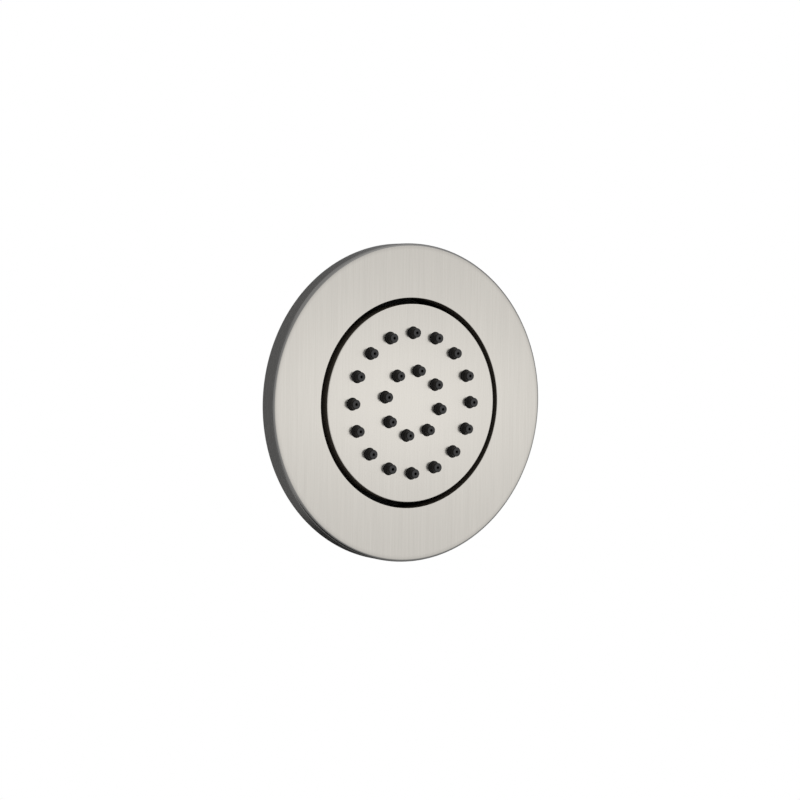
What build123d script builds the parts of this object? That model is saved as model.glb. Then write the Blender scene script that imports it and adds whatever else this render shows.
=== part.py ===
from build123d import *
from math import radians, tan
import os

# The jet sits on a wall at y = 0 and sprays along -Y, with its axis on the Y axis.
# Outlines are given as (radius, out): the distance from the axis and in front of the wall.
# All sizes are in millimetres and angles in degrees.

# Cover ring on the wall
cover_radius = 50.0
cover_depth = 6.2
cover_plate = 1.6
cover_rim = 1.8
opening_radius = 33.0
sleeve_wall = 1.5
sleeve_lift = 1.6
sleeve_lead = 0.4
cover_edge_radius = 1.0
opening_edge = 0.2

# Gasket behind the rim
gasket_width = 3.0
gasket_fit = 0.05

# Wall cup behind the cover
cup_clearance = 0.6
cup_wall = 2.2
cup_front_gap = 0.2
cup_floor = 2.2
cup_floor_drop = 5.0
cup_hole_fit = 0.1
cup_corner = 1.2

# Ring by which the cover grips the cup
grip_height = 1.6
grip_width = 1.3
seal_fit = 0.03

# Spray plate inside the opening
plate_gap = 1.9
plate_proud = 0.5
plate_web = 1.0
plate_rim_width = 4.5
plate_rim_depth = 5.2
plate_edge = 0.3

# Nozzles and their mat
outer_nozzles = 16
inner_nozzles = 8
outer_ring_radius = 22.05
inner_ring_radius = 10.3
top_angle = 90.0
mat_thickness = 1.2
mat_fit = 0.15
collar_radius = 1.85
collar_height = 0.15
shoulder_height = 0.3
tip_radius = 1.5
nozzle_height = 2.4
nozzle_fit = 0.1
orifice_radius = 0.4

# Diffuser plate behind the mat
diffuser_thickness = 0.9
diffuser_recess = 0.4
diffuser_land = 1.6
diffuser_pad_radius = 4.0
diffuser_hole_radius = 1.8
diffuser_holes = 8

# Head shell and its water chamber
shell_wall = 1.6
shell_setback = 0.5
shell_flange = 2.6
spigot_wall = 2.4
spigot_fit = 0.1
chamber_depth = 5.0
stud_room = 2.5
well_floor = 1.8
well_clearance = 1.2
post_count = 8
post_radius = 1.1

# Screws from the back of the shell into the plate's rim
screw_count = 6
screw_radius = 1.25
screw_head_radius = 1.7
screw_head_height = 1.3
screw_bite = 3.0
screw_hole_spare = 0.3
screw_fit = 0.05
screw_socket_width = 1.5
screw_socket_depth = 0.7

# Swivel ball with its neck, hexagon and threaded end
ball_radius = 7.0
ball_bore = 2.5
ball_tail = 6.0
ball_tuck = 0.7
neck_radius = 3.6
stud_hex_width = 11.0
stud_hex_height = 1.0
stud_radius = 4.0
thread_fit = 0.05
stud_nut_width = 12.0
stud_nut_height = 1.2
stud_seal_width = 0.9
stud_seal_height = 0.8

# Ball socket: seat, seal and retaining nut
running_fit = 0.05
seat_wall = 1.55
seat_front_gap = 0.6
seat_depth = 3.8
ball_seal_height = 1.6
ball_seal_width = 1.6
ball_seal_ledge = 0.6
socket_wall = 1.8
socket_front = 2.2
nut_wall = 2.1
nut_gap = 0.2
nut_lip_setback = 2.7
nut_edge = 0.8
nut_slots = 4
nut_slot_width = 2.4
nut_slot_depth = 1.2
nut_slot_length = 3.0

# Clamp of the cup on the inlet body
lock_step = 1.1
lock_washer_thickness = 0.8
lock_washer_width = 4.4
lock_nut_height = 2.6
lock_nut_width = 30.0
lock_nut_gap = 0.4
cup_seal_thickness = 1.0
cup_seal_setback = 0.2

# Inlet: half-inch pipe thread, spanner hexagon and bores
thread_radius = 10.48
thread_length = 16.0
thread_edge = 0.6
relief_length = 1.5
relief_depth = 1.2
inlet_hex_length = 6.0
hex_corner_angle = 15.0
waterway_radius = 5.0
inlet_bore_radius = 7.0
inlet_bore_depth = 14.7

# Flow regulator and strainer in the inlet
regulator_length = 6.0
regulator_fit = 0.05
regulator_hole_radius = 0.9
regulator_hole_ring = 3.2
regulator_holes = 6
regulator_seal_width = 1.2
regulator_seal_height = 1.6
filter_fit = 0.1
filter_brim = 0.8
filter_step = 1.4
filter_wall = 0.5
filter_length = 7.0
filter_end = 0.8
filter_slots = 8
filter_slot_width = 1.0
filter_slot_margin = 1.4

# Levels and radii of the cover, the spray plate and the head, from the front backwards
cover_back = cover_depth - cover_plate
rim_bore = cover_radius - cover_rim
sleeve_radius = opening_radius + sleeve_wall
plate_radius = opening_radius - plate_gap
plate_face = cover_depth + plate_proud
web_back = plate_face - plate_web
rim_back = plate_face - plate_rim_depth
recess_radius = plate_radius - plate_rim_width
mat_radius = recess_radius - mat_fit
mat_back = web_back - mat_thickness
diffuser_back = mat_back - diffuser_thickness
spigot_radius = recess_radius - spigot_fit
chamber_radius = spigot_radius - spigot_wall
chamber_floor = diffuser_back - chamber_depth
shell_back = chamber_floor - shell_wall
flange_radius = plate_radius - shell_setback
flange_back = rim_back - shell_flange
well_top = diffuser_back - stud_room
well_back = well_top - well_floor
stud_hole = stud_radius + thread_fit
stud_seal_radius = stud_hole + stud_seal_width
stud_hex_back = well_back - stud_hex_height
screw_ring_radius = plate_radius - plate_rim_width / 2
screw_hole = screw_radius + screw_fit

# Levels and radii around the ball
ball_centre = stud_hex_back - ball_radius + ball_tuck
seat_sphere = ball_radius + running_fit
seat_radius = ball_radius + seat_wall
seat_back = ball_centre - seat_depth
socket_radius = seat_radius + running_fit
socket_shoulder = seat_back - running_fit
front_thread_radius = socket_radius + socket_wall
body_front = ball_centre + socket_front
nut_bore = front_thread_radius + thread_fit
nut_radius = nut_bore + nut_wall
nut_front = ball_centre + ball_radius - nut_lip_setback
ball_seal_bore = waterway_radius + ball_seal_ledge
ball_seal_radius = ball_seal_bore + ball_seal_width
gland_radius = ball_seal_radius + seal_fit
gland_floor = socket_shoulder - ball_seal_height - seal_fit
well_bore = nut_radius + well_clearance
well_radius = well_bore + shell_wall

# Levels and radii of the cup, its clamp and the inlet
grip_bore = sleeve_radius + seal_fit
grip_radius = grip_bore + grip_width
cup_bore = sleeve_radius + cup_clearance
cup_radius = cup_bore + cup_wall
cup_front = cover_back - cup_front_gap
cup_floor_front = ball_centre - cup_floor_drop
cup_floor_back = cup_floor_front - cup_floor
lock_radius = front_thread_radius + lock_step
cup_hole = lock_radius + cup_hole_fit
lock_washer_front = cup_floor_front + lock_washer_thickness
lock_nut_front = lock_washer_front + lock_nut_height
inlet_hex_width = lock_nut_width
inlet_hex_front = cup_floor_back - cup_seal_thickness
inlet_hex_back = inlet_hex_front - inlet_hex_length
thread_front = inlet_hex_back - relief_length
thread_back = thread_front - thread_length
regulator_front = thread_back + inlet_bore_depth
regulator_back = regulator_front - regulator_length
regulator_seal_radius = inlet_bore_radius - seal_fit
regulator_seal_bore = regulator_seal_radius - regulator_seal_width


def turned(*outline):
    """Revolve a closed outline of (radius, out) points about the jet's axis."""
    section = make_face(Polyline(*[(radius, -out) for radius, out in outline], close=True))
    return revolve(section, Axis.Y)


def ring(inner, outer, back, front):
    """A plain ring between two radii and two levels."""
    return turned((inner, back), (outer, back), (outer, front), (inner, front))


def bar(radius, back, front):
    """A plain round bar on the axis."""
    return turned((0, back), (radius, back), (radius, front), (0, front))


def facing(out):
    """The plane at a level in front of the wall that looks outwards, with x right and y up."""
    return Plane(origin=(0, -out, 0), x_dir=(1, 0, 0), z_dir=(0, -1, 0))


def hexagon(width, back, front):
    """A hexagonal bar on the axis, from its width across flats, with its corners turned off."""
    flat = width / 2
    outline = RegularPolygon(flat, 6, major_radius=False)
    corner = outline.radius
    drop = (corner - flat) * tan(radians(hex_corner_angle))
    blank = turned(
        (0, back),
        (flat, back),
        (corner, back + drop),
        (corner, front - drop),
        (flat, front),
        (0, front),
    )
    return blank & extrude(facing(back) * outline, front - back)


def around(out, radius, count, start=0.0):
    """Evenly spaced places on a circle, each looking outwards."""
    return [facing(out).location * place for place in PolarLocations(radius, count, start)]


def pegs(places, radius, length):
    """Round pegs that stand outwards from each place."""
    peg = Cylinder(radius, length, align=(Align.CENTER, Align.CENTER, Align.MIN))
    return [place * peg for place in places]


def ball_space(radius):
    """A sphere about the ball's centre."""
    return Pos(0, -ball_centre, 0) * Sphere(radius)


def nozzle_places(out):
    """An outer ring of nozzles with one at the top, and an inner ring set half a pitch round."""
    half_pitch = 180.0 / outer_nozzles
    outer = around(out, outer_ring_radius, outer_nozzles, top_angle)
    return outer + around(out, inner_ring_radius, inner_nozzles, top_angle - half_pitch)


def cover_ring():
    """The flat ring on the wall: plate, straight rim and the sleeve round its opening."""
    blank = turned(
        (opening_radius, sleeve_lift),
        (sleeve_radius - sleeve_lead, sleeve_lift),
        (sleeve_radius, sleeve_lift + sleeve_lead),
        (sleeve_radius, cover_back),
        (rim_bore, cover_back),
        (rim_bore, 0),
        (cover_radius, 0),
        (cover_radius, cover_depth),
        (opening_radius + opening_edge, cover_depth),
        (opening_radius, cover_depth - opening_edge),
    )
    rim_edges = blank.edges().filter_by(GeomType.CIRCLE).group_by(SortBy.RADIUS)[-1]
    return fillet(rim_edges.sort_by(Axis.Y)[0], cover_edge_radius)


def wall_gasket():
    """The soft ring inside the rim, between the cover's plate and the wall."""
    outer = rim_bore - gasket_fit
    return ring(outer - gasket_width, outer, 0, cover_back)


def wall_cup():
    """The moulded cup in the wall, with a rebate at its mouth for the grip ring."""
    rebate = grip_radius + seal_fit
    rebate_floor = cup_front - grip_height - seal_fit
    return turned(
        (cup_hole, cup_floor_back),
        (cup_radius - cup_corner, cup_floor_back),
        (cup_radius, cup_floor_back + cup_corner),
        (cup_radius, cup_front),
        (rebate, cup_front),
        (rebate, rebate_floor),
        (cup_bore, rebate_floor),
        (cup_bore, cup_floor_front),
        (cup_hole, cup_floor_front),
    )


def grip_ring():
    """The rubber ring in the cup's mouth that holds the cover's sleeve."""
    return ring(grip_bore, grip_radius, cup_front - grip_height, cup_front)


def spray_plate():
    """The round face of the head: a thin web with the nozzle holes and a deep rim."""
    plate = turned(
        (0, web_back),
        (recess_radius, web_back),
        (recess_radius, rim_back),
        (plate_radius, rim_back),
        (plate_radius, plate_face - plate_edge),
        (plate_radius - plate_edge, plate_face),
        (0, plate_face),
    )
    holes = pegs(nozzle_places(web_back), collar_radius + nozzle_fit, plate_web)
    screw_holes = pegs(screw_places(rim_back), screw_hole, screw_bite + screw_hole_spare)
    return plate - holes - screw_holes


def nozzle():
    """One nozzle, standing on the mat's front: a collar with a sloping shoulder, and the tip."""
    collar_top = plate_web + collar_height
    tip_top = plate_web + nozzle_height
    outline = Polyline(
        (0, 0),
        (collar_radius, 0),
        (collar_radius, collar_top),
        (tip_radius, collar_top + shoulder_height),
        (tip_radius, tip_top),
        (0, tip_top),
        close=True,
    )
    return revolve(Plane.XZ * make_face(outline), Axis.Z)


def nozzle_mat():
    """The silicone moulding: a round mat with every nozzle on its front, each with its orifice."""
    mat = bar(mat_radius, mat_back, web_back)
    mat += [place * nozzle() for place in nozzle_places(web_back)]
    orifice_length = mat_thickness + plate_web + nozzle_height
    return mat - pegs(nozzle_places(mat_back), orifice_radius, orifice_length)


def diffuser_plate():
    """The rigid plate behind the mat, dished so that its holes feed every nozzle."""
    dish = mat_back - diffuser_recess
    plate = turned(
        (0, diffuser_back),
        (mat_radius, diffuser_back),
        (mat_radius, mat_back),
        (mat_radius - diffuser_land, mat_back),
        (mat_radius - diffuser_land, dish),
        (diffuser_pad_radius, dish),
        (diffuser_pad_radius, mat_back),
        (0, mat_back),
    )
    ring_radius = (inner_ring_radius + outer_ring_radius) / 2
    places = around(diffuser_back, ring_radius, diffuser_holes)
    return plate - pegs(places, diffuser_hole_radius, diffuser_thickness)


def head_shell():
    """The moulded back of the head: screw flange, water chamber, posts and the well for the ball."""
    wall_radius = chamber_radius + shell_wall
    counterbore = stud_seal_radius + seal_fit
    counterbore_floor = well_back + stud_seal_height + seal_fit
    shell = turned(
        (stud_hole, counterbore_floor),
        (counterbore, counterbore_floor),
        (counterbore, well_back),
        (well_bore, well_back),
        (well_bore, shell_back),
        (wall_radius, shell_back),
        (wall_radius, flange_back),
        (flange_radius, flange_back),
        (flange_radius, rim_back),
        (spigot_radius, rim_back),
        (spigot_radius, diffuser_back),
        (chamber_radius, diffuser_back),
        (chamber_radius, chamber_floor),
        (well_radius, chamber_floor),
        (well_radius, well_top),
        (stud_hole, well_top),
    )
    half_pitch = 180.0 / post_count
    post_places = around(chamber_floor, (well_radius + chamber_radius) / 2, post_count, half_pitch)
    shell += pegs(post_places, post_radius, chamber_depth)
    return shell - pegs(screw_places(flange_back), screw_hole, shell_flange)


def screw_places(out):
    """The circle of screws in the middle of the plate's rim, the first at the top."""
    return around(out, screw_ring_radius, screw_count, top_angle)


def head_screws():
    """Socket-head screws that come in from the back of the flange."""
    head = Cylinder(screw_head_radius, screw_head_height, align=(Align.CENTER, Align.CENTER, Align.MAX))
    length = shell_flange + screw_bite
    shank = Cylinder(screw_radius, length, align=(Align.CENTER, Align.CENTER, Align.MIN))
    socket_outline = RegularPolygon(screw_socket_width / 2, 6, major_radius=False)
    socket = Pos(0, 0, -screw_head_height) * extrude(socket_outline, screw_socket_depth)
    screw = head + shank - socket
    return Compound(children=[place * screw for place in screw_places(flange_back)])


def swivel_ball():
    """The hollow ball, cut flat at its tail, with neck, spanner hexagon and threaded end."""
    tail = ball_centre - ball_tail
    stud_end = well_top + stud_nut_height
    ball = ball_space(ball_radius) - bar(ball_radius, tail - ball_radius, tail)
    ball += bar(neck_radius, ball_centre, stud_hex_back)
    ball += hexagon(stud_hex_width, stud_hex_back, well_back)
    ball += bar(stud_radius, well_back, stud_end)
    return ball - bar(ball_bore, tail, stud_end)


def stud_seal():
    """The ring that seals the threaded end in the shell."""
    return ring(stud_hole, stud_seal_radius, well_back, well_back + stud_seal_height)


def stud_nut():
    """The thin nut that clamps the shell to the ball."""
    stud_end = well_top + stud_nut_height
    return hexagon(stud_nut_width, well_top, stud_end) - bar(stud_hole, well_top, stud_end)


def ball_seat():
    """The plain bearing ring under the ball, free to turn in the socket."""
    seat_front = ball_centre - seat_front_gap
    return ring(waterway_radius, seat_radius, seat_back, seat_front) - ball_space(seat_sphere)


def ball_seal():
    """The rubber ring behind the seat, shaped to the ball."""
    blank = ring(ball_seal_bore, ball_seal_radius, gland_floor + seal_fit, socket_shoulder)
    return blank - ball_space(ball_radius + seal_fit)


def ball_nut():
    """The retaining nut: its lip closes over the ball, and slots take a pin spanner."""
    skirt_back = lock_nut_front + lock_nut_gap
    lip_back = body_front + nut_gap
    nut = turned(
        (nut_bore, skirt_back),
        (nut_radius, skirt_back),
        (nut_radius, nut_front - nut_edge),
        (nut_radius - nut_edge, nut_front),
        (neck_radius, nut_front),
        (neck_radius, lip_back),
        (nut_bore, lip_back),
    )
    slot = Box(2 * nut_slot_depth, nut_slot_width, 2 * nut_slot_length)
    slots = [place * slot for place in around(nut_front, nut_radius, nut_slots)]
    return nut - ball_space(seat_sphere) - slots


def inlet_body():
    """The turned brass body: pipe thread, spanner hexagon, clamp thread and ball socket."""
    body = turned(
        (inlet_bore_radius, thread_back),
        (thread_radius - thread_edge, thread_back),
        (thread_radius, thread_back + thread_edge),
        (thread_radius, thread_front),
        (thread_radius - relief_depth, thread_front),
        (thread_radius - relief_depth, inlet_hex_back),
        (lock_radius, inlet_hex_back),
        (lock_radius, lock_nut_front),
        (front_thread_radius, lock_nut_front),
        (front_thread_radius, body_front),
        (socket_radius, body_front),
        (socket_radius, socket_shoulder),
        (gland_radius, socket_shoulder),
        (gland_radius, gland_floor),
        (waterway_radius, gland_floor),
        (waterway_radius, regulator_front),
        (inlet_bore_radius, regulator_front),
    )
    spanner = hexagon(inlet_hex_width, inlet_hex_back, inlet_hex_front)
    return body + (spanner - bar(lock_radius, inlet_hex_back, inlet_hex_front))


def lock_nut():
    """The flat nut that clamps the cup's floor against the hexagon."""
    blank = hexagon(lock_nut_width, lock_washer_front, lock_nut_front)
    return blank - bar(lock_radius + thread_fit, lock_washer_front, lock_nut_front)


def lock_washer():
    """The washer under the lock nut."""
    return ring(cup_hole, cup_hole + lock_washer_width, cup_floor_front, lock_washer_front)


def cup_seal():
    """The flat rubber washer between the hexagon and the cup's floor."""
    return ring(cup_hole, inlet_hex_width / 2 - cup_seal_setback, inlet_hex_front, cup_floor_back)


def flow_regulator():
    """The moulded cartridge that limits the flow, with a groove for its seal."""
    radius = inlet_bore_radius - regulator_fit
    groove = regulator_seal_bore - seal_fit
    groove_back = regulator_seal_back() - seal_fit
    groove_front = regulator_seal_back() + regulator_seal_height + seal_fit
    cartridge = turned(
        (0, regulator_back),
        (radius, regulator_back),
        (radius, groove_back),
        (groove, groove_back),
        (groove, groove_front),
        (radius, groove_front),
        (radius, regulator_front),
        (0, regulator_front),
    )
    places = around(regulator_back, regulator_hole_ring, regulator_holes)
    return cartridge - pegs(places, regulator_hole_radius, regulator_length)


def regulator_seal_back():
    """The level of the seal's back, so that the seal lies half way along the cartridge."""
    return (regulator_front + regulator_back - regulator_seal_height) / 2


def regulator_seal():
    """The ring round the cartridge."""
    back = regulator_seal_back()
    return ring(regulator_seal_bore, regulator_seal_radius, back, back + regulator_seal_height)


def filter_screen():
    """The strainer: a brim on the regulator and a slotted cup towards the pipe."""
    brim_radius = inlet_bore_radius - filter_fit
    tube_radius = brim_radius - filter_step
    tube_bore = tube_radius - filter_wall
    tube_front = regulator_back - filter_brim
    tube_back = regulator_back - filter_length
    screen = turned(
        (tube_bore, regulator_back),
        (brim_radius, regulator_back),
        (brim_radius, tube_front),
        (tube_radius, tube_front),
        (tube_radius, tube_back),
        (0, tube_back),
        (0, tube_back + filter_end),
        (tube_bore, tube_back + filter_end),
    )
    slot_back = tube_back + filter_end + filter_slot_margin
    slot_length = tube_front - filter_slot_margin - slot_back
    slot = Pos(0, 0, slot_length / 2) * Box(2 * brim_radius, filter_slot_width, slot_length)
    turns = [360.0 * index / filter_slots for index in range(filter_slots // 2)]
    pairs = [facing(slot_back).location * Rot(0, 0, turn) * slot for turn in turns]
    return screen - pairs


pieces = {
    "cover_ring": cover_ring(),
    "wall_gasket": wall_gasket(),
    "wall_cup": wall_cup(),
    "grip_ring": grip_ring(),
    "spray_plate": spray_plate(),
    "nozzle_mat": nozzle_mat(),
    "diffuser_plate": diffuser_plate(),
    "head_shell": head_shell(),
    "head_screws": head_screws(),
    "swivel_ball": swivel_ball(),
    "stud_seal": stud_seal(),
    "stud_nut": stud_nut(),
    "ball_seat": ball_seat(),
    "ball_seal": ball_seal(),
    "ball_nut": ball_nut(),
    "inlet_body": inlet_body(),
    "lock_nut": lock_nut(),
    "lock_washer": lock_washer(),
    "cup_seal": cup_seal(),
    "flow_regulator": flow_regulator(),
    "regulator_seal": regulator_seal(),
    "filter_screen": filter_screen(),
}

os.makedirs("parts", exist_ok=True)
for name, piece in pieces.items():
    export_step(piece, f"parts/{name}.step")
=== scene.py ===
import bmesh
import bpy
import math
from mathutils import Matrix, Vector


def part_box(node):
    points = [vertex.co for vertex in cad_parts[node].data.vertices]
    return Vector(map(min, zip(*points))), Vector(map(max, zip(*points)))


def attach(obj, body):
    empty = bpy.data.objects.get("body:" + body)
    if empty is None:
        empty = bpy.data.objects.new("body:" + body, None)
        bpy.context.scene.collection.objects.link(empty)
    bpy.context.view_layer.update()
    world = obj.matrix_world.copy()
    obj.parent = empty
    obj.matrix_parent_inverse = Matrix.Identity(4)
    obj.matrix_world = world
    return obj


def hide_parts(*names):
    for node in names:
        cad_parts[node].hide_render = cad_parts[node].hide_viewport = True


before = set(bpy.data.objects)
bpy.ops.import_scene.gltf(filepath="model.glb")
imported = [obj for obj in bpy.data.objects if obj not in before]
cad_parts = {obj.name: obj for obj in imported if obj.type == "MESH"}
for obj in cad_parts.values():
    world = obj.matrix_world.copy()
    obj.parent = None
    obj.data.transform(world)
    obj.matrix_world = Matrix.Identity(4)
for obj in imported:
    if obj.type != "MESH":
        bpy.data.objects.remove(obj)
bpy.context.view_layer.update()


# Inlet body: the brass fitting that carries the whole jet, turned from hexagon bar. The pipe
# thread at its back takes the supply, two finer ones in front take the lock nut and the ball
# nut, and the ball's socket is bored in its front.
mm = 0.001
size_digits = 3


def depths(name):
    """Where a solid starts and ends, in mm. Depth counts into the wall."""
    low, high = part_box(name)
    return round(low.y / mm, size_digits), round(high.y / mm, size_digits)


def half_width(name):
    """How far a solid reaches to the right of the jet's axis, in mm."""
    return round(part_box(name)[1].x / mm, size_digits)


def half_height(name):
    """How far a solid reaches above the jet's axis, in mm."""
    return round(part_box(name)[1].z / mm, size_digits)


inlet_front, inlet_back = depths("inlet_body")
clamp_front = 9.6
clamp_back = 15.0
spanner_front = 16.2
spanner_back = 22.2
spanner_flat = half_height("inlet_body")
pipe_front = 23.7
relief_radius = 9.28
relief_soft = 0.3
back_land = 9.25
filter_bore = 7.0
filter_floor = 25.0
filter_mouth_soft = 0.3
waterway = 5.0
seal_bore = 7.23
seal_floor = 13.48
seat_bore = 8.6
seat_floor = 11.85
front_land = 9.3
bore_soft = 0.2
turning_steps = 192
fine_steps = 96
spare_turns = 1
thread_form = ((0.0, 0.0), (0.08, 0.03), (0.42, 0.97), (0.5, 1.0), (0.58, 0.97), (0.92, 0.03))
pipe_thread = {
    "crest": 10.48, "root": 9.316, "pitch": 1.814, "front": pipe_front, "back": inlet_back,
    "front_lead": 1.1, "back_lead": 0.6}
clamp_thread = {
    "crest": 11.5, "root": 10.95, "pitch": 1.0, "front": clamp_front, "back": clamp_back,
    "front_lead": 0.4, "back_lead": 0.3, "steps": fine_steps}
nose_thread = {
    "crest": 10.4, "root": 9.85, "pitch": 1.0, "front": inlet_front, "back": clamp_front,
    "front_lead": 0.4, "back_lead": 0.3, "steps": fine_steps}
merge_distance = 0.002 * mm
corner_segments = 6
side_angle = math.pi / 3
corner_angle = math.radians(15)
corner_rings = 6
bar_depth = 0.1
bar_slope = 0.1
true_slope = 0.0001
crease = math.radians(50)
grain_low = 0.3
grain_high = 0.7
brass_dark = (0.52, 0.35, 0.13, 1)
brass_light = (0.66, 0.47, 0.20, 1)
drawn_dark = (0.56, 0.385, 0.15, 1)
drawn_light = (0.61, 0.425, 0.175, 1)


def rounded_outline(points, closed=True):
    """A wire of (radius, depth, soft) points in mm, each corner rounded off by its soft size.
    An open outline leaves out the edge from its last point to its first."""
    shape = bmesh.new()
    corners = [shape.verts.new((radius * mm, depth * mm, 0)) for radius, depth, soft in points]
    shape.faces.new(corners)
    gap = shape.edges.get((corners[-1], corners[0]))
    for corner, (radius, depth, soft) in zip(corners, points):
        if soft:
            bmesh.ops.bevel(
                shape, geom=[corner], offset=soft * mm, offset_type="OFFSET", affect="VERTICES",
                segments=corner_segments, profile=0.5, material=-1)
    bmesh.ops.delete(shape, geom=shape.faces[:], context="FACES_ONLY")
    if not closed:
        bmesh.ops.delete(shape, geom=[gap], context="EDGES")
    return shape


def spin_round(shape, steps=turning_steps, **screw):
    """Spin a wire once about the jet's axis, as a lathe cuts it, and close the seam."""
    bmesh.ops.spin(
        shape, geom=shape.verts[:] + shape.edges[:], axis=(0, 1, 0), cent=(0, 0, 0),
        angle=math.tau, steps=steps, use_merge=not screw, **screw)
    bmesh.ops.remove_doubles(shape, verts=shape.verts[:], dist=merge_distance)
    return shape


def add_shape(shape, other):
    """Add another shape to this one as it lies."""
    mesh = bpy.data.meshes.new("added")
    other.to_mesh(mesh)
    other.free()
    shape.from_mesh(mesh)
    bpy.data.meshes.remove(mesh)


def open_edges(shape, depth):
    """The open edges that lie in one flat at a depth."""
    level = depth * mm
    return [
        edge for edge in shape.edges
        if edge.is_boundary and all(abs(end.co.y - level) < merge_distance for end in edge.verts)]


def close_flats(shape, *flat_depths):
    """Fill the flat at each depth between its open edges, which leaves its holes open."""
    bmesh.ops.remove_doubles(shape, verts=shape.verts[:], dist=merge_distance)
    for depth in flat_depths:
        bmesh.ops.triangle_fill(shape, edges=open_edges(shape, depth), use_beauty=True)


def threaded_wall(crest, root, pitch, front, back, front_lead, back_lead, steps=turning_steps):
    """A right-hand thread of one start, with a lead-in cone cut at each end.
    In a nut the crest lies inside the root, and the cones open outwards."""
    turns = math.ceil((back - front) / pitch) + 2 * spare_turns
    shape = bmesh.new()
    rows = []
    for turn in range(turns):
        for share, height in thread_form:
            radius = root + (crest - root) * height
            depth = front + (turn - spare_turns + share) * pitch
            rows.append(shape.verts.new((radius * mm, depth * mm, 0)))
    for row, following in zip(rows, rows[1:]):
        shape.edges.new((row, following))
    spin_round(shape, steps, dvec=(0, pitch / steps * mm, 0))
    for depth, side in ((front, -1), (back, 1)):
        bmesh.ops.bisect_plane(
            shape, geom=shape.verts[:] + shape.edges[:] + shape.faces[:],
            plane_co=(0, depth * mm, 0), plane_no=(0, side, 0), clear_outer=True)
    outwards = 1 if crest > root else -1
    for vertex in shape.verts:
        depth = vertex.co.y / mm
        radius = math.hypot(vertex.co.x, vertex.co.z)
        cone = (crest + outwards * min(depth - front - front_lead, back - back_lead - depth)) * mm
        if outwards * (radius - cone) > 0:
            vertex.co.x *= cone / radius
            vertex.co.z *= cone / radius
    return shape


def hexagon_corner(flat):
    """How far a hexagon's corners lie from its middle, from its half width."""
    return flat / math.cos(side_angle / 2)


def hexagon_side(flat, front, back):
    """The outline of a hexagon's blank, from its half width, with its corners coned off at both ends."""
    past_flat = hexagon_corner(flat) - flat
    steps = [past_flat * ring / corner_rings for ring in range(corner_rings + 1)]
    rise = [(flat + step, front + step * math.tan(corner_angle), 0) for step in steps]
    fall = [(flat + step, back - step * math.tan(corner_angle), 0) for step in reversed(steps)]
    return rise + fall


def cut_flats(shape, flat, front, back):
    """Cut a turned blank back to a hexagon with its corners to the left and right.
    Where a flat meets the cone on the corners, the border follows the cone."""
    for vertex in shape.verts:
        radius = math.hypot(vertex.co.x, vertex.co.z)
        from_flat = math.atan2(vertex.co.z, vertex.co.x) % side_angle - side_angle / 2
        limit = flat * mm / math.cos(from_flat)
        if front * mm < vertex.co.y < back * mm and radius > limit:
            fall = (limit - flat * mm) * math.tan(corner_angle)
            border = front * mm + fall if vertex.co.y < (front + back) / 2 * mm else back * mm - fall
            vertex.co = (vertex.co.x * limit / radius, border, vertex.co.z * limit / radius)


def drawn_flats(shape, flat):
    """Give the flats of a hexagon the second finish."""
    shape.normal_update()
    for face in shape.faces:
        middle = face.calc_center_median()
        on_bar = math.hypot(middle.x, middle.z) > (flat - bar_depth) * mm
        face.material_index = int(on_bar and abs(face.normal.y) < bar_slope)


def lies(face):
    """How a face lies on a turned piece: flat across the axis, a wall along it, or between the two."""
    along = abs(face.normal.y)
    if along > 1 - true_slope:
        return "flat"
    return "wall" if along < true_slope else "edge"


def made_piece(name, shape, body, slot, *finishes):
    """Make a shape a piece of the jet in place of the solid of that name, smooth but for its creases."""
    bmesh.ops.recalc_face_normals(shape, faces=shape.faces[:])
    shape.normal_update()
    for face in shape.faces:
        face.smooth = True
    for edge in shape.edges:
        one, other = edge.link_faces
        edge.smooth = lies(one) == lies(other) and edge.calc_face_angle() < crease
    mesh = bpy.data.meshes.new(name)
    shape.to_mesh(mesh)
    shape.free()
    for finish in finishes:
        mesh.materials.append(finish)
    piece = bpy.data.objects.new(name + "_made", mesh)
    bpy.context.scene.collection.objects.link(piece)
    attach(piece, body)
    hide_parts(name)


def joined(tree, kind, inputs, **settings):
    """Add a node with its settings, and link or set each of its inputs."""
    node = tree.nodes.new(kind)
    for setting, value in settings.items():
        setattr(node, setting, value)
    for socket, value in inputs.items():
        if isinstance(value, bpy.types.NodeSocket):
            tree.links.new(value, node.inputs[socket])
        else:
            node.inputs[socket].default_value = value
    return node


def object_place(tree):
    """Where a point lies on the jet, in metres."""
    return joined(tree, "ShaderNodeTexCoord", {}).outputs["Object"]


def across_axis(tree):
    """Where a point lies across the jet's axis, with its depth left out."""
    flattened = joined(
        tree, "ShaderNodeVectorMath", {0: object_place(tree), 1: (1, 0, 1)}, operation="MULTIPLY")
    return flattened.outputs["Vector"]


def from_axis(tree):
    """How far a point lies from the jet's axis, in metres."""
    radius = joined(tree, "ShaderNodeVectorMath", {0: across_axis(tree)}, operation="LENGTH")
    return radius.outputs["Value"]


def noise(tree, place, scale, detail):
    """Even noise over a place."""
    speckle = joined(tree, "ShaderNodeTexNoise", {"Vector": place, "Scale": scale, "Detail": detail})
    return speckle.outputs[0]


def streaks(tree, scales, detail):
    """Noise on the jet with a scale for each axis, drawn out along the one that has the least."""
    stretched = joined(tree, "ShaderNodeMapping", {"Vector": object_place(tree), "Scale": scales})
    return noise(tree, stretched.outputs["Vector"], scale=1, detail=detail)


def lathe_rings(tree):
    """Fine tool marks that run round the axis, on walls and end faces alike."""
    depth = joined(tree, "ShaderNodeSeparateXYZ", {"Vector": object_place(tree)})
    track = joined(tree, "ShaderNodeCombineXYZ", {"X": from_axis(tree), "Y": depth.outputs["Y"]})
    return noise(tree, track.outputs["Vector"], scale=4500, detail=3)


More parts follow.
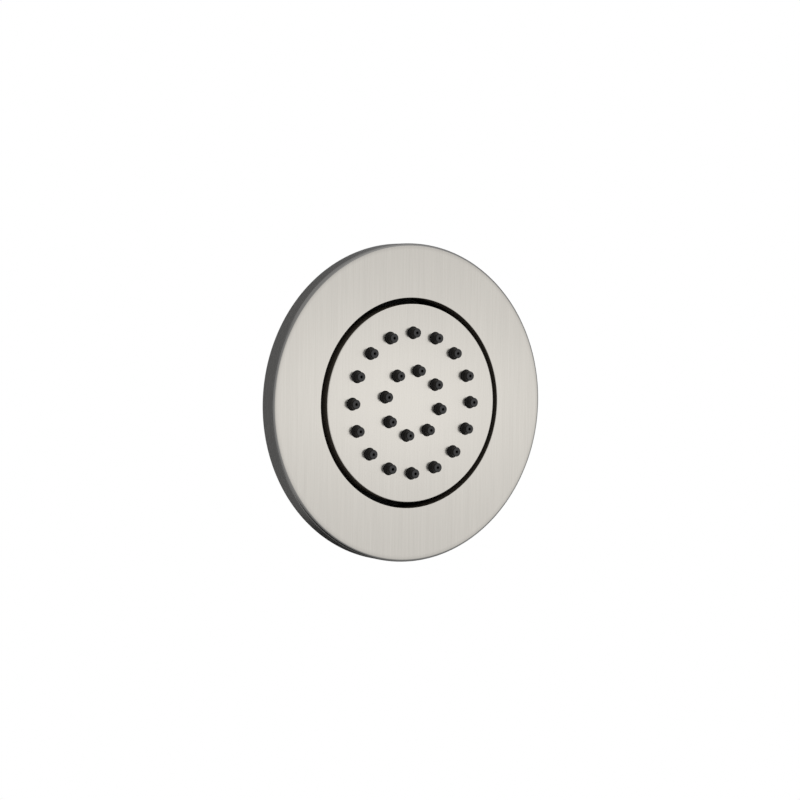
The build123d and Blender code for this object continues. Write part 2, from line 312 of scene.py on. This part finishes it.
def drawn_lines(tree):
    """Long faint lines along the axis, as on bar drawn through a die."""
    return streaks(tree, scales=(2600, 60, 2600), detail=3)


def grained_material(name, grain, dark, light, roughness, relief, shader):
    """A material whose grain shades it from dark to light, changes its gloss and raises its surface.
    Roughness gives the least and the most, and relief the height in mm."""
    material = bpy.data.materials.new(name)
    material.use_nodes = True
    tree = material.node_tree
    surface = tree.nodes["Principled BSDF"]
    pattern = grain(tree)
    shade = joined(tree, "ShaderNodeValToRGB", {"Fac": pattern})
    for stop, position, colour in zip(
            shade.color_ramp.elements, (grain_low, grain_high), (dark, light)):
        stop.position = position
        stop.color = colour
    gloss = joined(
        tree, "ShaderNodeMapRange",
        {"Value": pattern, "From Min": grain_low, "From Max": grain_high,
         "To Min": roughness[0], "To Max": roughness[1]})
    height = joined(tree, "ShaderNodeBump", {"Height": pattern, "Distance": relief * mm})
    tree.links.new(shade.outputs["Color"], surface.inputs["Base Color"])
    tree.links.new(gloss.outputs["Result"], surface.inputs["Roughness"])
    tree.links.new(height.outputs["Normal"], surface.inputs["Normal"])
    for socket, value in shader.items():
        surface.inputs[socket].default_value = value
    return material


def dressed(finish, *names):
    """Give the solids of these names their finish."""
    for name in names:
        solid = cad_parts[name].data
        solid.materials.clear()
        solid.materials.append(finish)


inlet_bores = [
    (back_land, inlet_back, 0), (filter_bore, inlet_back, filter_mouth_soft),
    (filter_bore, filter_floor, 0), (waterway, filter_floor, bore_soft),
    (waterway, seal_floor, 0), (seal_bore, seal_floor, 0), (seal_bore, seat_floor, 0),
    (seat_bore, seat_floor, 0), (seat_bore, inlet_front, bore_soft), (front_land, inlet_front, 0)]
inlet_outside = [(clamp_thread["crest"], clamp_back, 0), (clamp_thread["crest"], spanner_front, 0)]
inlet_outside += hexagon_side(spanner_flat, spanner_front, spanner_back)
inlet_outside += [(relief_radius, spanner_back, relief_soft), (relief_radius, pipe_front, 0)]
inlet_shape = spin_round(rounded_outline(inlet_outside, closed=False))
cut_flats(inlet_shape, spanner_flat, spanner_front, spanner_back)
add_shape(inlet_shape, spin_round(rounded_outline(inlet_bores, closed=False)))
for thread in (pipe_thread, clamp_thread, nose_thread):
    add_shape(inlet_shape, threaded_wall(**thread))
close_flats(inlet_shape, inlet_front, clamp_front, clamp_back, pipe_front, inlet_back)
drawn_flats(inlet_shape, spanner_flat)
turned_brass = grained_material(
    "turned_brass", lathe_rings, brass_dark, brass_light,
    roughness=(0.2, 0.34), relief=0.004, shader={"Metallic": 1.0})
drawn_brass = grained_material(
    "drawn_brass", drawn_lines, drawn_dark, drawn_light,
    roughness=(0.26, 0.32), relief=0.0006, shader={"Metallic": 1.0})
made_piece("inlet_body", inlet_shape, "wall_body", "turned_brass", turned_brass, drawn_brass)


# Flow regulator, its ring seal and the strainer: a moulded cartridge that is pushed into the
# inlet's bore, and before it in the stream a slotted cup of stainless wire cloth that keeps
# grit out.
regulator_seal_bore = 5.77
regulator_seal_soft = 0.4
regulator_dark = (0.34, 0.35, 0.36, 1)
regulator_light = (0.42, 0.43, 0.44, 1)
rubber_dark = (0.028, 0.028, 0.03, 1)
rubber_light = (0.05, 0.05, 0.052, 1)
steel_dark = (0.48, 0.47, 0.45, 1)
steel_light = (0.62, 0.61, 0.59, 1)
open_mesh_shade = (0.02, 0.02, 0.02, 1)
wire_pitch = 0.75
wire_contrast = 1.5


def made_ring(name, bore, soft, body, slot, finish):
    """Make a ring of square section with eased edges, as wide and deep as the solid it replaces."""
    outer = half_width(name)
    front, back = depths(name)
    section = [(bore, back, soft), (outer, back, soft), (outer, front, soft), (bore, front, soft)]
    made_piece(name, spin_round(rounded_outline(section)), body, slot, finish)


def moulded_grain(tree):
    """The fine even texture of a spark-eroded mould."""
    return noise(tree, object_place(tree), scale=3200, detail=4)


def wire_cloth(tree):
    """The square meshes of woven wire, with painted shade in the middle of each where the cloth is open."""
    meshes = joined(
        tree, "ShaderNodeTexVoronoi",
        {"Vector": across_axis(tree), "Scale": 1 / (wire_pitch * mm), "Randomness": 0},
        distance="CHEBYCHEV")
    raised = joined(
        tree, "ShaderNodeMath", {0: meshes.outputs["Distance"], 1: wire_contrast}, operation="MULTIPLY")
    return raised.outputs[0]


grey_plastic = grained_material(
    "grey_plastic", moulded_grain, regulator_dark, regulator_light,
    roughness=(0.4, 0.55), relief=0.006, shader={})
seal_rubber = grained_material(
    "seal_rubber", moulded_grain, rubber_dark, rubber_light,
    roughness=(0.6, 0.8), relief=0.01, shader={"Specular IOR Level": 0.35})
stainless_steel = grained_material(
    "stainless_steel", lathe_rings, steel_dark, steel_light,
    roughness=(0.22, 0.36), relief=0.003, shader={"Metallic": 1.0})
# The cloth's openings are painted dark: painted shade.
steel_cloth = grained_material(
    "steel_cloth", wire_cloth, open_mesh_shade, steel_light,
    roughness=(0.3, 0.4), relief=0.12, shader={"Metallic": 1.0})
dressed(grey_plastic, "flow_regulator")
dressed(steel_cloth, "filter_screen")
made_ring(
    "regulator_seal", regulator_seal_bore, regulator_seal_soft, "wall_body", "grey_rubber", seal_rubber)


# Wall cup: the black moulded cup that lines the hole in the wall, clamped on the inlet body.
# A rubber washer lies behind its floor, a steel washer and a flat brass nut in front of it.
cup_radius = half_width("wall_cup")
cup_front, cup_back = depths("wall_cup")
cup_bore = 11.6
cup_floor = 13.0
cup_inside = 35.1
cup_base_soft = 1.6
cup_floor_soft = 0.8
cup_lip_soft = 0.3
cup_ledge_soft = 0.1
grip_seat = 35.86
grip_seat_floor = -2.77
grip_seat_soft = 0.15
washer_soft = 0.12
cup_seal_soft = 0.15
lock_thread = {
    "crest": 11.55, "root": 12.1, "pitch": 1.0, "front_lead": 0.4, "back_lead": 0.4, "steps": fine_steps}
moulding_dark = (0.015, 0.0145, 0.014, 1)
moulding_light = (0.024, 0.023, 0.022, 1)


def hexagon_nut(name, thread):
    """A hexagon nut as wide and deep as the solid of that name, with a thread through it."""
    flat = half_height(name)
    front, back = depths(name)
    shape = spin_round(rounded_outline(hexagon_side(flat, front, back), closed=False))
    cut_flats(shape, flat, front, back)
    add_shape(shape, threaded_wall(front=front, back=back, **thread))
    close_flats(shape, front, back)
    drawn_flats(shape, flat)
    return shape


cup_outline = [
    (cup_bore, cup_back, 0), (cup_radius, cup_back, cup_base_soft),
    (cup_radius, cup_front, cup_lip_soft), (grip_seat, cup_front, grip_seat_soft),
    (grip_seat, grip_seat_floor, 0), (cup_inside, grip_seat_floor, cup_ledge_soft),
    (cup_inside, cup_floor, cup_floor_soft), (cup_bore, cup_floor, 0)]
cup_shape = spin_round(rounded_outline(cup_outline))
black_moulding = grained_material(
    "black_moulding", moulded_grain, moulding_dark, moulding_light,
    roughness=(0.42, 0.58), relief=0.008, shader={})
made_piece("wall_cup", cup_shape, "wall_body", "black_moulding", black_moulding)
made_ring("cup_seal", cup_bore, cup_seal_soft, "wall_body", "grey_rubber", seal_rubber)
made_ring("lock_washer", cup_bore, washer_soft, "wall_body", "stainless_steel", stainless_steel)
lock_shape = hexagon_nut("lock_nut", lock_thread)
made_piece("lock_nut", lock_shape, "wall_body", "turned_brass", turned_brass, drawn_brass)


# Ball joint: a hollow chromed ball on a plain plastic seat, with a rubber ring behind it and a
# slotted chromed nut that screws over the inlet's front and holds the ball in. The ball's neck
# ends in a spanner hexagon and a short thread.
stud_front, ball_tail = depths("swivel_ball")
ball_radius = 7.0
ball_middle = 8.0
ball_bore = 2.5
ball_steps = 48
neck_radius = 3.6
neck_hexagon = {"flat": 5.5, "front": 0.7, "back": 1.7}
stud_land = 3.0
stud_bore_soft = 0.2
tail_bore_soft = 0.3
stud_thread = {
    "crest": 4.0, "root": 3.55, "pitch": 0.75, "front": stud_front, "back": neck_hexagon["front"],
    "front_lead": 0.35, "back_lead": 0.2, "steps": fine_steps}
chrome_dark = (0.74, 0.74, 0.75, 1)
chrome_light = (0.80, 0.80, 0.81, 1)
seat_dark = (0.70, 0.69, 0.64, 1)
seat_light = (0.78, 0.77, 0.72, 1)

tail_angle = math.asin((ball_tail - ball_middle) / ball_radius)
neck_angle = -math.acos(neck_radius / ball_radius)
step_angle = (neck_angle - tail_angle) / ball_steps
ball_outline = [
    (stud_land, stud_front, 0), (ball_bore, stud_front, stud_bore_soft),
    (ball_bore, ball_tail, tail_bore_soft)]
for step in range(ball_steps + 1):
    angle = tail_angle + step * step_angle
    ball_outline.append((ball_radius * math.cos(angle), ball_middle + ball_radius * math.sin(angle), 0))
ball_outline += [(neck_radius, neck_hexagon["back"], 0)] + hexagon_side(**neck_hexagon)[::-1]
ball_shape = spin_round(rounded_outline(ball_outline, closed=False))
cut_flats(ball_shape, **neck_hexagon)
add_shape(ball_shape, threaded_wall(**stud_thread))
close_flats(ball_shape, stud_thread["front"], stud_thread["back"])
chromed_brass = grained_material(
    "chromed_brass", lathe_rings, chrome_dark, chrome_light,
    roughness=(0.05, 0.1), relief=0.0006, shader={"Metallic": 1.0})
bearing_plastic = grained_material(
    "bearing_plastic", moulded_grain, seat_dark, seat_light,
    roughness=(0.35, 0.5), relief=0.004, shader={"Subsurface Weight": 0.05})
made_piece("swivel_ball", ball_shape, "spray_head", "chromed_brass", chromed_brass)
dressed(seal_rubber, "ball_seal")
dressed(bearing_plastic, "ball_seat")
dressed(chromed_brass, "ball_nut")


# Head shell: the moulded back of the spray head, clamped on the ball's threaded end by a thin
# nut over a rubber ring. Six socket screws hold it to the spray plate, over the diffuser.
stud_nut_thread = {
    "crest": 4.05, "root": 4.5, "pitch": 0.75, "front_lead": 0.3, "back_lead": 0.3, "steps": fine_steps}
stud_seal_bore = 4.05
stud_seal_soft = 0.25
screw_end, screw_top = depths("head_screws")
screw_seat = 1.1
screw_head_radius = 1.7
screw_under_land = 1.4
screw_under_soft = 0.1
screw_top_land = 1.3
screw_top_soft = 0.25
socket_flat = 0.75
socket_floor = 1.7
socket_sides = 6
screw_count = 6
screw_ring_radius = 28.85
screw_steps = 32
screw_thread = {
    "crest": 1.25, "root": 0.98, "pitch": 0.45, "front": screw_end, "back": screw_seat,
    "front_lead": 0.2, "back_lead": 0.1, "steps": screw_steps}


def places_round(count, radius, start=0.0):
    """Evenly spaced places on a ring round the axis, the first at a start angle from the top."""
    for index in range(count):
        angle = start + math.tau * index / count
        yield Vector((math.sin(angle), 0, math.cos(angle))) * radius * mm


def repeated(shape, places):
    """A copy of a shape at each place."""
    mesh = bpy.data.meshes.new("repeated")
    shape.to_mesh(mesh)
    shape.free()
    copies = bmesh.new()
    for place in places:
        before = len(copies.verts)
        copies.from_mesh(mesh)
        copies.verts.ensure_lookup_table()
        bmesh.ops.translate(copies, verts=copies.verts[before:], vec=place)
    bpy.data.meshes.remove(mesh)
    return copies


screw_head = [
    (screw_under_land, screw_seat, 0), (screw_head_radius, screw_seat, screw_under_soft),
    (screw_head_radius, screw_top, screw_top_soft), (screw_top_land, screw_top, 0)]
socket_corner = hexagon_corner(socket_flat)
screw_socket = [(socket_corner, screw_top, 0), (socket_corner, socket_floor, 0), (0, socket_floor, 0)]
screw_places = list(places_round(screw_count, screw_ring_radius))
screw_shape = spin_round(rounded_outline(screw_head, closed=False), screw_steps)
add_shape(screw_shape, spin_round(rounded_outline(screw_socket, closed=False), socket_sides))
add_shape(screw_shape, threaded_wall(**screw_thread))
close_flats(screw_shape, screw_end, screw_seat, screw_top)
screws_shape = repeated(screw_shape, screw_places)
made_piece("head_screws", screws_shape, "spray_head", "stainless_steel", stainless_steel)
made_ring("stud_seal", stud_seal_bore, stud_seal_soft, "spray_head", "grey_rubber", seal_rubber)
stud_nut_shape = hexagon_nut("stud_nut", stud_nut_thread)
made_piece("stud_nut", stud_nut_shape, "spray_head", "turned_brass", turned_brass, drawn_brass)
dressed(black_moulding, "head_shell")
dressed(grey_plastic, "diffuser_plate")


# Nozzle mat: one black silicone moulding with all the nozzles on its front, clamped between the
# spray plate and the diffuser. Each nozzle is a round collar with a sloping shoulder and a
# narrower tip, whose end face is glossier and painted lighter: a painted highlight.
nozzle_tip, mat_back = depths("nozzle_mat")
mat_front = -5.7
mat_radius = half_width("nozzle_mat")
collar_top = -6.85
collar_radius = 1.85
collar_soft = 0.06
shoulder_height = 0.3
shoulder_soft = 0.12
tip_radius = 1.5
tip_soft = 0.26
mouth_radius = 0.5
mouth_depth = 0.1
mouth_soft = 0.05
orifice_radius = 0.4
tip_face_depth = 0.02
outer_nozzles = 16
outer_ring_radius = 22.05
inner_nozzles = 8
inner_ring_radius = 10.3
half_pitch = math.pi / outer_nozzles
nozzle_steps = 48
silicone_dark = (0.0045, 0.004, 0.0035, 1)
silicone_light = (0.0075, 0.0065, 0.006, 1)
tip_highlight_dark = (0.006, 0.0057, 0.006, 1)
tip_highlight_light = (0.012, 0.0114, 0.012, 1)

nozzle_places = list(places_round(outer_nozzles, outer_ring_radius))
nozzle_places += places_round(inner_nozzles, inner_ring_radius, half_pitch)
nozzle_outline = [
    (collar_radius, mat_front, 0), (collar_radius, collar_top, collar_soft),
    (tip_radius, collar_top - shoulder_height, shoulder_soft), (tip_radius, nozzle_tip, tip_soft),
    (mouth_radius, nozzle_tip, mouth_soft), (orifice_radius, nozzle_tip + mouth_depth, 0),
    (orifice_radius, mat_back, 0)]
nozzle_shape = spin_round(rounded_outline(nozzle_outline, closed=False), nozzle_steps)
mat_shape = bmesh.new()
mat_rim = [mat_shape.verts.new((mat_radius * mm, depth * mm, 0)) for depth in (mat_front, mat_back)]
mat_shape.edges.new(mat_rim)
spin_round(mat_shape)
add_shape(mat_shape, repeated(nozzle_shape, nozzle_places))
close_flats(mat_shape, mat_front, mat_back)
# The tip faces take the glossier, lighter silicone; their lighter colour is a painted highlight.
for face in mat_shape.faces:
    face.material_index = int(face.calc_center_median().y < (nozzle_tip + tip_face_depth) * mm)
black_silicone = grained_material(
    "black_silicone", moulded_grain, silicone_dark, silicone_light,
    roughness=(0.45, 0.6), relief=0.004, shader={"Specular IOR Level": 0.16})
tip_silicone_painted_highlight = grained_material(
    "tip_silicone_painted_highlight", moulded_grain, tip_highlight_dark, tip_highlight_light,
    roughness=(0.4, 0.5), relief=0.004, shader={})
made_piece("nozzle_mat", mat_shape, "spray_head", "black_silicone", black_silicone, tip_silicone_painted_highlight)


# Spray plate: the brushed round face of the head, with a hole for each nozzle and a deep rim.
# It is pressed from sheet, brushed in straight lines and screwed to the shell from behind.
plate_face, plate_back = depths("spray_plate")
plate_radius = half_width("spray_plate")
plate_recess = 26.6
plate_land = 0.6
plate_face_soft = 0.3
plate_back_soft = 0.2
hole_radius = 1.95
hole_land = 0.3
hole_soft = 0.12
screw_hole_radius = 1.3
screw_hole_land = 0.2
screw_hole_soft = 0.1
screw_hole_end = -4.8
face_finish, wall_finish, gap_shade_slot = range(3)
wall_slope = 0.5
gap_reach = 0.05
band_share = 0.35
nickel_dark = (0.520, 0.498, 0.462, 1)
nickel_light = (0.580, 0.556, 0.515, 1)
# The walls in the gap round the plate take a dark brown, nearly black colour: painted shade in the gap.
gap_shade_dark = (0.055, 0.047, 0.037, 1)
gap_shade_light = (0.075, 0.064, 0.050, 1)


def brush_lines(tree):
    """Straight brush lines down the face: fine across it and long along it, some of them coarser."""
    hair = streaks(tree, scales=(5200, 5200, 60), detail=3)
    band = streaks(tree, scales=(1500, 1500, 18), detail=4)
    mixed = joined(tree, "ShaderNodeMix", {"Factor": band_share, "A": hair, "B": band})
    return mixed.outputs["Result"]


def turned_walls(shape, gap_radius):
    """Give the walls round a piece their own finish, and the one in the gap round the plate a dark one:
    painted shade.
    """
    shape.normal_update()
    for face in shape.faces:
        middle = face.calc_center_median()
        in_gap = abs(math.hypot(middle.x, middle.z) - gap_radius * mm) < gap_reach * mm
        if abs(face.normal.y) > wall_slope:
            face.material_index = face_finish
        else:
            face.material_index = gap_shade_slot if in_gap else wall_finish


plate_rim = [
    (plate_radius - plate_land, plate_back, 0), (plate_radius, plate_back, plate_back_soft),
    (plate_radius, plate_face, plate_face_soft), (plate_radius - plate_land, plate_face, 0)]
plate_inside = [
    (plate_recess, mat_front, 0), (plate_recess, plate_back, plate_back_soft),
    (plate_recess + plate_land, plate_back, 0)]
nozzle_hole = [
    (hole_radius + hole_land, plate_face, 0), (hole_radius, plate_face, hole_soft),
    (hole_radius, mat_front, 0)]
screw_hole = [
    (screw_hole_radius + screw_hole_land, plate_back, 0),
    (screw_hole_radius, plate_back, screw_hole_soft),
    (screw_hole_radius, screw_hole_end, 0), (0, screw_hole_end, 0)]
plate_shape = spin_round(rounded_outline(plate_rim, closed=False))
add_shape(plate_shape, spin_round(rounded_outline(plate_inside, closed=False)))
for hole, places in ((nozzle_hole, nozzle_places), (screw_hole, screw_places)):
    hole_shape = spin_round(rounded_outline(hole, closed=False), nozzle_steps)
    add_shape(plate_shape, repeated(hole_shape, places))
close_flats(plate_shape, plate_face, mat_front, plate_back)
turned_walls(plate_shape, plate_radius)
brushed_nickel = grained_material(
    "brushed_nickel", brush_lines, nickel_dark, nickel_light,
    roughness=(0.225, 0.24), relief=0.0004, shader={"Metallic": 1.0, "Anisotropic": 0.4})
turned_nickel = grained_material(
    "turned_nickel", lathe_rings, nickel_dark, nickel_light,
    roughness=(0.24, 0.32), relief=0.001, shader={"Metallic": 1.0})
# Painted shade: the dark brown nickel for the walls in the gap.
gap_nickel_painted_shade = grained_material(
    "gap_nickel_painted_shade", lathe_rings, gap_shade_dark, gap_shade_light,
    roughness=(0.5, 0.6), relief=0.002, shader={"Specular IOR Level": 0.3})
made_piece(
    "spray_plate", plate_shape, "spray_head", "brushed_nickel", brushed_nickel, turned_nickel, gap_nickel_painted_shade)


# Wall gasket and grip ring: a foam ring in the cover's rim that keeps water out of the wall, and
# a rubber ring in the cup's mouth that holds the cover's sleeve.
gasket_bore = 45.15
gasket_soft = 0.3
grip_bore = 34.53
grip_soft = 0.3
foam_dark = (0.018, 0.018, 0.019, 1)
foam_light = (0.04, 0.04, 0.042, 1)


def foam_cells(tree):
    """The small open cells of cut foam."""
    cells = joined(tree, "ShaderNodeTexVoronoi", {"Vector": object_place(tree), "Scale": 1800})
    return cells.outputs["Distance"]


foam_rubber = grained_material(
    "foam_rubber", foam_cells, foam_dark, foam_light,
    roughness=(0.8, 0.95), relief=0.08, shader={"Specular IOR Level": 0.25})
made_ring("wall_gasket", gasket_bore, gasket_soft, "wall_body", "foam_rubber", foam_rubber)
made_ring("grip_ring", grip_bore, grip_soft, "wall_body", "grey_rubber", seal_rubber)


# Cover ring: the flat brushed ring on the wall, with a straight rim and a sleeve round its
# opening. It is turned, brushed in straight lines and pushed into the wall cup's grip ring.
cover_radius = half_width("cover_ring")
cover_face, cover_back = depths("cover_ring")
cover_edge_soft = 1.0
cover_back_soft = 0.1
cover_web_back = -4.6
rim_inside = 48.2
opening_radius = 33.0
opening_soft = 0.2
sleeve_radius = 34.5
sleeve_back = -1.6
sleeve_lead = 0.4
sleeve_soft = 0.1
cover_steps = 256
border_start = 47.8
border_end = 49.9
border_shade = 0.78
# The rim's faces take a nickel far darker than the face's, with a dull grazing tint: painted shade for the
# rim's dark reflections.
rim_start = 49.3
rim_shade_slot = gap_shade_slot + 1
rim_dark = (0.170, 0.167, 0.163, 1)
rim_light = (0.206, 0.203, 0.198, 1)
rim_grazing = (0.55, 0.55, 0.55, 1)


def painted_border_shade(finish):
    """Darken a finish towards the ring's outer edge: painted shade."""
    tree = finish.node_tree
    colour = tree.nodes["Principled BSDF"].inputs["Base Color"]
    shade = joined(
        tree, "ShaderNodeMapRange",
        {"Value": from_axis(tree), "From Min": border_start * mm, "From Max": border_end * mm,
         "To Min": 1.0, "To Max": border_shade},
        interpolation_type="SMOOTHSTEP")
    shaded = joined(
        tree, "ShaderNodeVectorMath", {0: colour.links[0].from_socket, "Scale": shade.outputs["Result"]},
        operation="SCALE")
    tree.links.new(shaded.outputs["Vector"], colour)


cover_outline = [
    (opening_radius, sleeve_back, sleeve_soft), (sleeve_radius - sleeve_lead, sleeve_back, 0),
    (sleeve_radius, sleeve_back - sleeve_lead, 0), (sleeve_radius, cover_web_back, 0),
    (rim_inside, cover_web_back, 0), (rim_inside, cover_back, cover_back_soft),
    (cover_radius, cover_back, cover_back_soft), (cover_radius, cover_face, cover_edge_soft),
    (opening_radius, cover_face, opening_soft)]
cover_shape = spin_round(rounded_outline(cover_outline), cover_steps)
turned_walls(cover_shape, opening_radius)
for face in cover_shape.faces:
    middle = face.calc_center_median()
    before_back = middle.y < cover_back * mm - merge_distance
    if before_back and math.hypot(middle.x, middle.z) > rim_start * mm:
        face.material_index = rim_shade_slot
# Painted shade: the ring's brushed face is darkened towards its outer edge.
painted_border_shade(brushed_nickel)
# Painted shade: the rim's darker nickel.
rim_nickel_painted_dark = grained_material(
    "rim_nickel_painted_dark", lathe_rings, rim_dark, rim_light,
    roughness=(0.24, 0.32), relief=0.001, shader={"Metallic": 1.0, "Specular Tint": rim_grazing})
made_piece(
    "cover_ring", cover_shape, "wall_body", "brushed_nickel",
    brushed_nickel, turned_nickel, gap_nickel_painted_shade, rim_nickel_painted_dark)


# Studio: a pale floor below the jet that fades into a white surround, and soft light from the
# upper right. A small lamp shines back off the face. The rim mirrors a grey screen round the
# back, and dark ones low down on the right and below.
floor_level = -0.6
floor_radius = 0.6
floor_plain = 0.2
floor_steps = 96
floor_shade = (0.8, 0.8, 0.79, 1)
matt = 0.9
surround_white = (1, 1, 1, 1)
surround_light = 0.75
surround_seen = 1.0
screen_dark = (0.03, 0.03, 0.03, 1)
screen_grey = (0.6, 0.6, 0.6, 1)
screen_steps = 48
upright_screens = {
    "grey_screen": {
        "shade": screen_grey, "distance": 1.0, "heights": (-0.9, 0.9), "start": -60, "sweep": 175},
    "dark_screen": {
        "shade": screen_dark, "distance": 0.97, "heights": (-0.9, -0.1), "start": -60, "sweep": 56}}
low_screen_middle = (-0.1, 0.03, -0.55)
low_screen_radius = 0.28
lamps = {
    "main_lamp": {"place": (0.9, -0.8, 1.4), "size": 2.0, "energy": 4},
    "face_lamp": {"place": (0.645, -1.003, -0.052), "size": 0.12, "energy": 0.06}}


def stage_piece(name, shape, shade):
    """Make a shape a matt piece of the studio."""
    mesh = bpy.data.meshes.new(name)
    shape.to_mesh(mesh)
    shape.free()
    paint = bpy.data.materials.new(name + "_paint")
    paint.use_nodes = True
    paint.node_tree.nodes["Principled BSDF"].inputs["Base Color"].default_value = shade
    paint.node_tree.nodes["Principled BSDF"].inputs["Roughness"].default_value = matt
    mesh.materials.append(paint)
    piece = bpy.data.objects.new(name, mesh)
    bpy.context.scene.collection.objects.link(piece)
    return piece


def level_disc(radius, middle, steps):
    """A flat round sheet that lies level."""
    shape = bmesh.new()
    bmesh.ops.create_circle(
        shape, cap_ends=True, segments=steps, radius=radius, matrix=Matrix.Translation(middle))
    return shape


def mirrored_screen(name, shape, shade):
    """Make a shape a screen of the studio that only mirrors show."""
    screen = stage_piece(name, shape, shade)
    screen.visible_camera = False
    screen.visible_diffuse = False
    screen.visible_shadow = False


def upright_screen(name, shade, distance, heights, start, sweep):
    """An upright screen bent round the jet, from a start in degrees left of straight behind it."""
    shape = bmesh.new()
    edge = [shape.verts.new((0, distance, height)) for height in heights]
    shape.edges.new(edge)
    turn = Matrix.Rotation(math.radians(start), 3, "Z")
    bmesh.ops.rotate(shape, verts=edge, cent=(0, 0, 0), matrix=turn)
    bmesh.ops.spin(
        shape, geom=shape.verts[:] + shape.edges[:], axis=(0, 0, 1), cent=(0, 0, 0),
        angle=math.radians(sweep), steps=screen_steps)
    mirrored_screen(name, shape, shade)


def soft_lamp(name, place, size, energy):
    """A round lamp that looks at the jet."""
    lamp_data = bpy.data.lights.new(name, "AREA")
    lamp_data.shape = "DISK"
    lamp_data.size = size
    lamp_data.energy = energy
    lamp = bpy.data.objects.new(name, lamp_data)
    lamp.location = place
    lamp.rotation_euler = (-Vector(place)).to_track_quat("-Z", "Y").to_euler()
    bpy.context.scene.collection.objects.link(lamp)


floor_shape = level_disc(floor_radius, (0, 0, floor_level), floor_steps)
floor = stage_piece("floor", floor_shape, floor_shade)
paint = floor.data.materials[0].node_tree
level_place = joined(
    paint, "ShaderNodeVectorMath", {0: object_place(paint), 1: (1, 1, 0)}, operation="MULTIPLY")
out = joined(paint, "ShaderNodeVectorMath", {0: level_place.outputs["Vector"]}, operation="LENGTH")
fade = joined(
    paint, "ShaderNodeMapRange",
    {"Value": out.outputs["Value"], "From Min": floor_plain, "From Max": floor_radius},
    interpolation_type="SMOOTHSTEP")
clear = joined(paint, "ShaderNodeBsdfTransparent", {})
faded = joined(
    paint, "ShaderNodeMixShader",
    {0: fade.outputs["Result"], 1: paint.nodes["Principled BSDF"].outputs["BSDF"], 2: clear.outputs["BSDF"]})
paint.links.new(faded.outputs["Shader"], paint.nodes["Material Output"].inputs["Surface"])

for name, screen in upright_screens.items():
    upright_screen(name, **screen)
low_screen = level_disc(low_screen_radius, low_screen_middle, screen_steps)
mirrored_screen("low_screen", low_screen, screen_dark)

surround = bpy.data.worlds.new("surround")
surround.use_nodes = True
bpy.context.scene.world = surround
sky = surround.node_tree
ray = joined(sky, "ShaderNodeLightPath", {}).outputs
seen = joined(
    sky, "ShaderNodeMath", {0: ray["Is Camera Ray"], 1: ray["Is Glossy Ray"]}, operation="ADD")
direct = joined(
    sky, "ShaderNodeMath", {0: seen.outputs[0], 1: ray["Is Transmission Ray"]},
    operation="ADD", use_clamp=True)
level = joined(
    sky, "ShaderNodeMapRange",
    {"Value": direct.outputs[0], "To Min": surround_light, "To Max": surround_seen})
sky.links.new(level.outputs["Result"], sky.nodes["Background"].inputs["Strength"])
sky.nodes["Background"].inputs["Color"].default_value = surround_white

for name, lamp in lamps.items():
    soft_lamp(name, **lamp)


# Camera: to the left of the jet and a little above its axis, with a long lens. It is rolled
# slightly, as the photograph is.
view_azimuth = math.radians(-33.08)
view_elevation = math.radians(2.53)
view_roll = math.radians(0.72)
view_distance = 0.67337
view_right = -0.000207
view_up = 0.000696
lens_length = 95.87
sensor_width = 36.0
nearest = 0.01

towards_camera = Vector((
    math.sin(view_azimuth) * math.cos(view_elevation),
    -math.cos(view_azimuth) * math.cos(view_elevation),
    math.sin(view_elevation)))
level_right = Vector((0, 0, 1)).cross(towards_camera).normalized()
picture_right = Matrix.Rotation(view_roll, 3, towards_camera) @ level_right
picture_up = towards_camera.cross(picture_right)
camera_data = bpy.data.cameras.new("camera")
camera_data.lens = lens_length
camera_data.sensor_width = sensor_width
camera_data.clip_start = nearest
camera = bpy.data.objects.new("camera", camera_data)
camera.location = view_distance * towards_camera + view_right * picture_right + view_up * picture_up
camera.rotation_euler = Matrix((picture_right, picture_up, towards_camera)).transposed().to_euler()
bpy.context.scene.collection.objects.link(camera)
bpy.context.scene.camera = camera
bpy.context.scene.view_settings.view_transform = "Standard"
